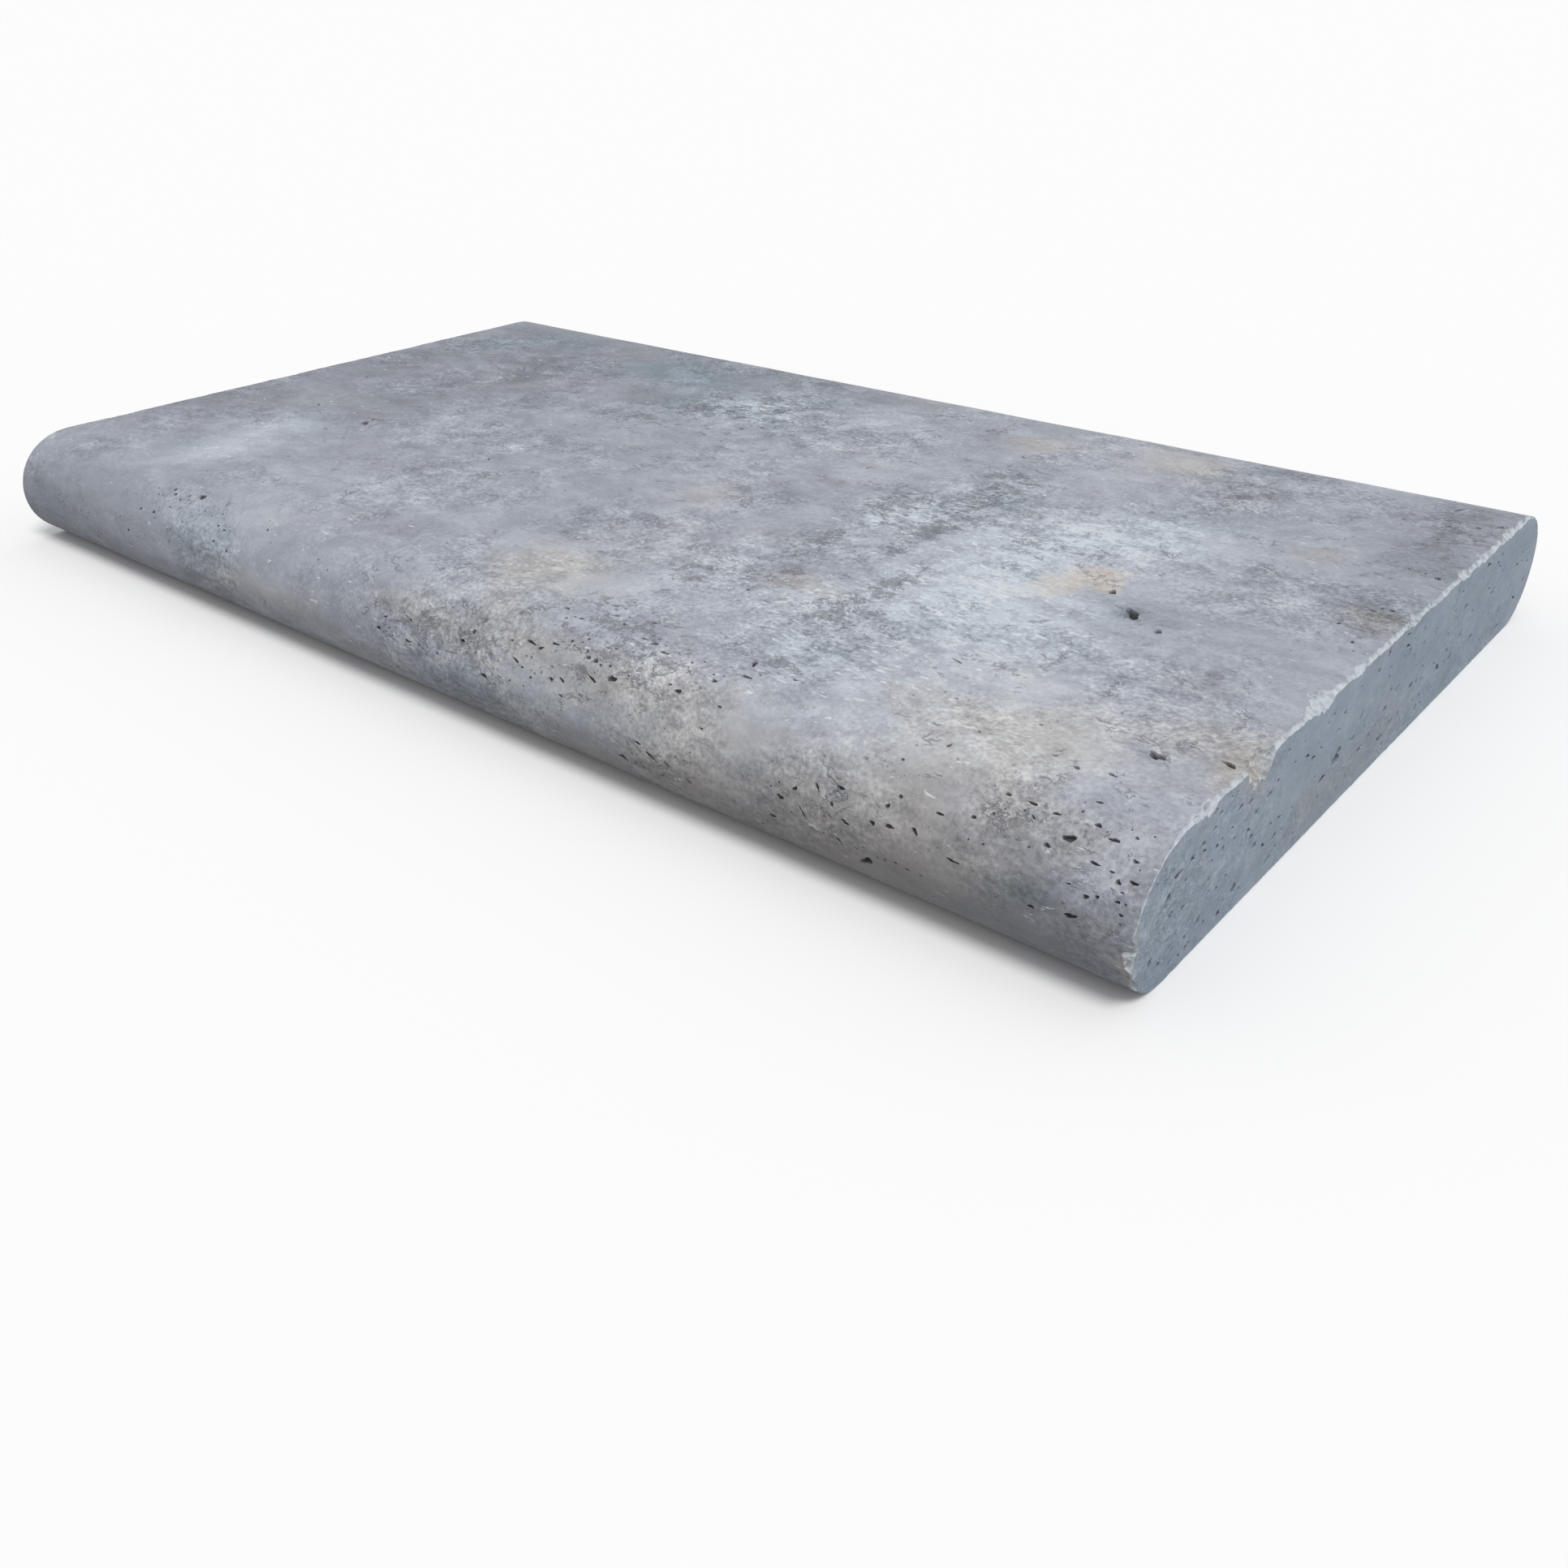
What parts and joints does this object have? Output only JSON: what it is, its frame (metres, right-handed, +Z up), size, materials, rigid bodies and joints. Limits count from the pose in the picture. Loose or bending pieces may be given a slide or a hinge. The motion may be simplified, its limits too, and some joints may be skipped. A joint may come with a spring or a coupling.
{
  "type": "travertine bullnose coping",
  "caption": "Thick slab of unfilled silver travertine with a bullnose along both long edges, sawn square at the ends, for pool edges, steps and wall tops.",
  "frame": {"origin": "centre of the underside, on the bedding face", "axes": "+X along the length towards the sawn end that shows, +Y across the width away from the front nose, +Z up through the thickness"},
  "size_m": [0.6096, 0.3556, 0.05],
  "materials": {
    "silver_travertine": "brushed, open pores"
  },
  "bodies": {
    "root": {"coping_slab": "silver_travertine"}
  },
  "joints": []
}
